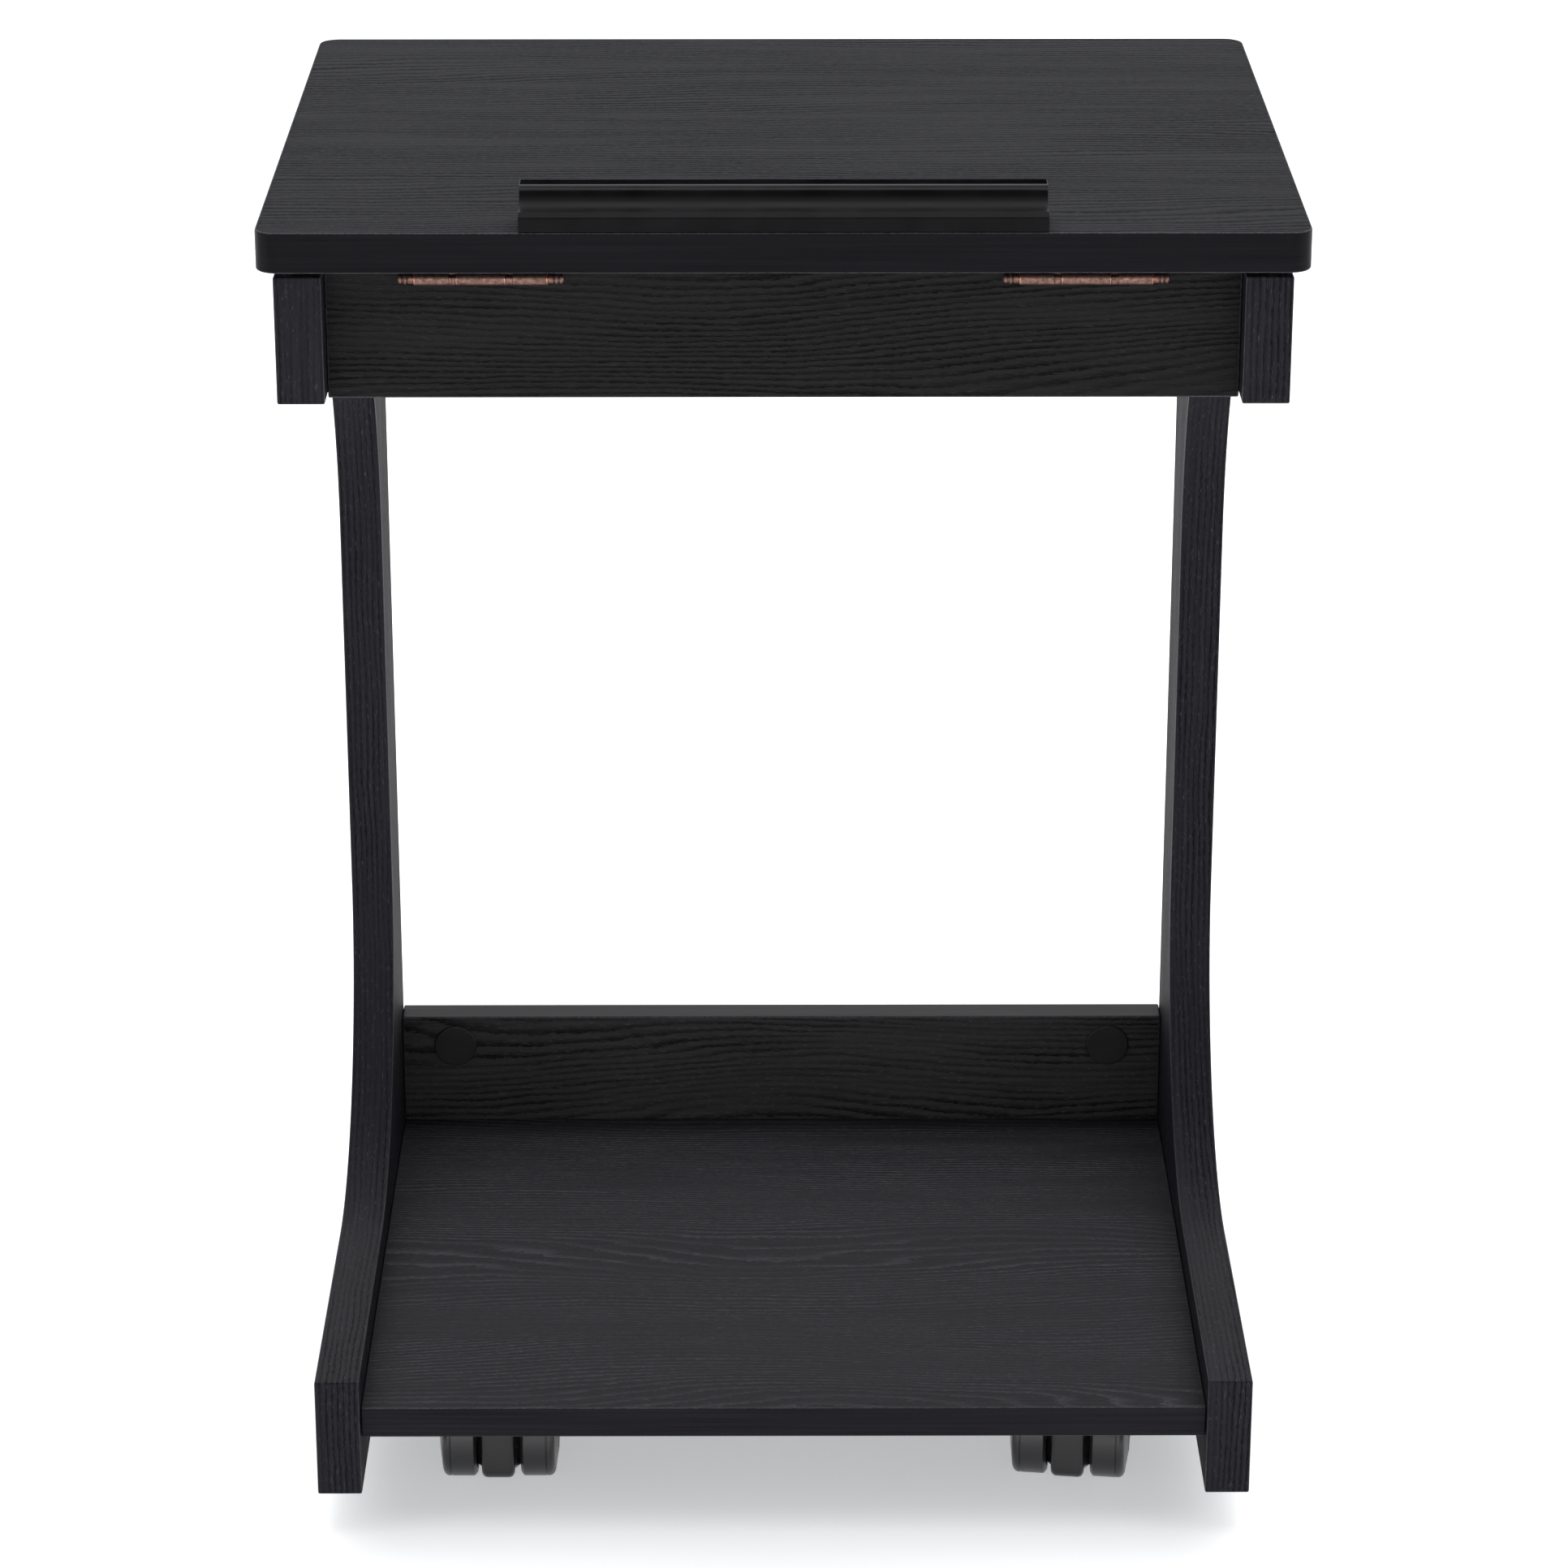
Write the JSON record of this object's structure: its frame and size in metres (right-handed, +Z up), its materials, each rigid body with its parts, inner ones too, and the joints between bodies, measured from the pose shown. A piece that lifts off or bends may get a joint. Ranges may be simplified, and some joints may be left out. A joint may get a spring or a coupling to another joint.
{
  "type": "rolling side table",
  "caption": "C-shaped rolling side table in black wood-grain laminate, with a tilting top, book ledge and low shelf.",
  "frame": {"origin": "on the floor under the middle of the tabletop", "axes": "+Z up, +X to the right seen from the front, -Y towards the user who sits at the front"},
  "size_m": [0.5, 0.4, 0.7233],
  "materials": {
    "laminate_top": "satin black wood-grain laminate",
    "laminate_shelf": "satin black wood-grain laminate",
    "laminate_rail": "embossed black wood-grain laminate",
    "laminate_side": "black wood-grain laminate with matching edge band",
    "ledge_black": "smooth satin",
    "antique_copper": "antique copper plate, brushed bright at the edges",
    "rubber_pad": "matte",
    "cap_plastic": "satin",
    "rack_plastic": "satin",
    "black_steel": "black powder coat",
    "zinc_steel": "zinc plated",
    "plate_steel": "black powder coat",
    "caster_plastic": "semi-gloss moulded nylon"
  },
  "bodies": {
    "frame": {"base_shelf": "laminate_shelf", "bumper_front_left": "rubber_pad", "bumper_front_right": "rubber_pad", "bumper_rear_left": "rubber_pad", "bumper_rear_right": "rubber_pad", "cam_lock_left": "zinc_steel", "cam_lock_right": "zinc_steel", "caster_front_left_plate": "plate_steel", "caster_front_right_plate": "plate_steel", "caster_rear_left_plate": "plate_steel", "caster_rear_right_plate": "plate_steel", "front_apron": "laminate_rail", "hinge_left_apron_leaf": "antique_copper", "hinge_left_pin": "antique_copper", "hinge_right_apron_leaf": "antique_copper", "hinge_right_pin": "antique_copper", "prop_rack_left": "rack_plastic", "prop_rack_right": "rack_plastic", "rack_screw_left_1": "zinc_steel", "rack_screw_left_2": "zinc_steel", "rack_screw_right_1": "zinc_steel", "rack_screw_right_2": "zinc_steel", "rail_cap_left": "cap_plastic", "rail_cap_right": "cap_plastic", "rear_base_rail": "laminate_rail", "rear_top_rail": "laminate_rail", "side_panel_left": "laminate_side", "side_panel_right": "laminate_side"},
    "top": {"tabletop": "laminate_top", "book_ledge": "ledge_black", "ledge_screw_left": "zinc_steel", "ledge_screw_right": "zinc_steel", "hinge_left_top_leaf": "antique_copper", "prop_bracket_left": "black_steel", "bracket_screw_left_1": "zinc_steel", "bracket_screw_left_2": "zinc_steel", "hinge_right_top_leaf": "antique_copper", "prop_bracket_right": "black_steel", "bracket_screw_right_1": "zinc_steel", "bracket_screw_right_2": "zinc_steel"},
    "prop": {"prop_bail": "black_steel"},
    "front_left_swivel": {"caster_front_left_fork": "caster_plastic", "caster_front_left_axle": "zinc_steel"},
    "front_left_left_wheel": {"caster_front_left_wheel_left": "caster_plastic"},
    "front_left_right_wheel": {"caster_front_left_wheel_right": "caster_plastic"},
    "front_right_swivel": {"caster_front_right_fork": "caster_plastic", "caster_front_right_axle": "zinc_steel"},
    "front_right_left_wheel": {"caster_front_right_wheel_left": "caster_plastic"},
    "front_right_right_wheel": {"caster_front_right_wheel_right": "caster_plastic"},
    "rear_left_swivel": {"caster_rear_left_fork": "caster_plastic", "caster_rear_left_axle": "zinc_steel"},
    "rear_left_left_wheel": {"caster_rear_left_wheel_left": "caster_plastic"},
    "rear_left_right_wheel": {"caster_rear_left_wheel_right": "caster_plastic"},
    "rear_right_swivel": {"caster_rear_right_fork": "caster_plastic", "caster_rear_right_axle": "zinc_steel"},
    "rear_right_left_wheel": {"caster_rear_right_wheel_left": "caster_plastic"},
    "rear_right_right_wheel": {"caster_rear_right_wheel_right": "caster_plastic"}
  },
  "joints": [
    {"name": "top_tilt", "type": "hinge", "parent": "frame", "child": "top", "pos_m": [0, -0.1825, 0.67735], "axis": [1, 0, 0], "range_deg": [0, 28]},
    {"name": "prop_swing", "type": "hinge", "parent": "top", "child": "prop", "pos_m": [0, -0.0125, 0.67735], "axis": [1, 0, 0], "range_deg": [-56, 0]},
    {"name": "front_left_swivel", "type": "hinge", "parent": "frame", "child": "front_left_swivel", "pos_m": [-0.151, -0.138, 0.05], "axis": [0, 0, 1], "continuous": true},
    {"name": "front_left_left_wheel_spin", "type": "hinge", "parent": "front_left_swivel", "child": "front_left_left_wheel", "pos_m": [-0.151, -0.118, 0.025], "axis": [1, 0, 0], "continuous": true},
    {"name": "front_left_right_wheel_spin", "type": "hinge", "parent": "front_left_swivel", "child": "front_left_right_wheel", "pos_m": [-0.151, -0.118, 0.025], "axis": [1, 0, 0], "continuous": true},
    {"name": "front_right_swivel", "type": "hinge", "parent": "frame", "child": "front_right_swivel", "pos_m": [0.151, -0.138, 0.05], "axis": [0, 0, 1], "continuous": true},
    {"name": "front_right_left_wheel_spin", "type": "hinge", "parent": "front_right_swivel", "child": "front_right_left_wheel", "pos_m": [0.15344, -0.11815, 0.025], "axis": [0.9925, -0.1219, 0], "continuous": true},
    {"name": "front_right_right_wheel_spin", "type": "hinge", "parent": "front_right_swivel", "child": "front_right_right_wheel", "pos_m": [0.15344, -0.11815, 0.025], "axis": [0.9925, -0.1219, 0], "continuous": true},
    {"name": "rear_left_swivel", "type": "hinge", "parent": "frame", "child": "rear_left_swivel", "pos_m": [-0.151, 0.1366, 0.05], "axis": [0, 0, 1], "continuous": true},
    {"name": "rear_left_left_wheel_spin", "type": "hinge", "parent": "rear_left_swivel", "child": "rear_left_left_wheel", "pos_m": [-0.151, 0.1566, 0.025], "axis": [1, 0, 0], "continuous": true},
    {"name": "rear_left_right_wheel_spin", "type": "hinge", "parent": "rear_left_swivel", "child": "rear_left_right_wheel", "pos_m": [-0.151, 0.1566, 0.025], "axis": [1, 0, 0], "continuous": true},
    {"name": "rear_right_swivel", "type": "hinge", "parent": "frame", "child": "rear_right_swivel", "pos_m": [0.151, 0.1366, 0.05], "axis": [0, 0, 1], "continuous": true},
    {"name": "rear_right_left_wheel_spin", "type": "hinge", "parent": "rear_right_swivel", "child": "rear_right_left_wheel", "pos_m": [0.151, 0.1566, 0.025], "axis": [1, 0, 0], "continuous": true},
    {"name": "rear_right_right_wheel_spin", "type": "hinge", "parent": "rear_right_swivel", "child": "rear_right_right_wheel", "pos_m": [0.151, 0.1566, 0.025], "axis": [1, 0, 0], "continuous": true}
  ],
  "couplings": [
    {"joint": "prop_swing", "follows": "top_tilt", "ratio": -2}
  ]
}
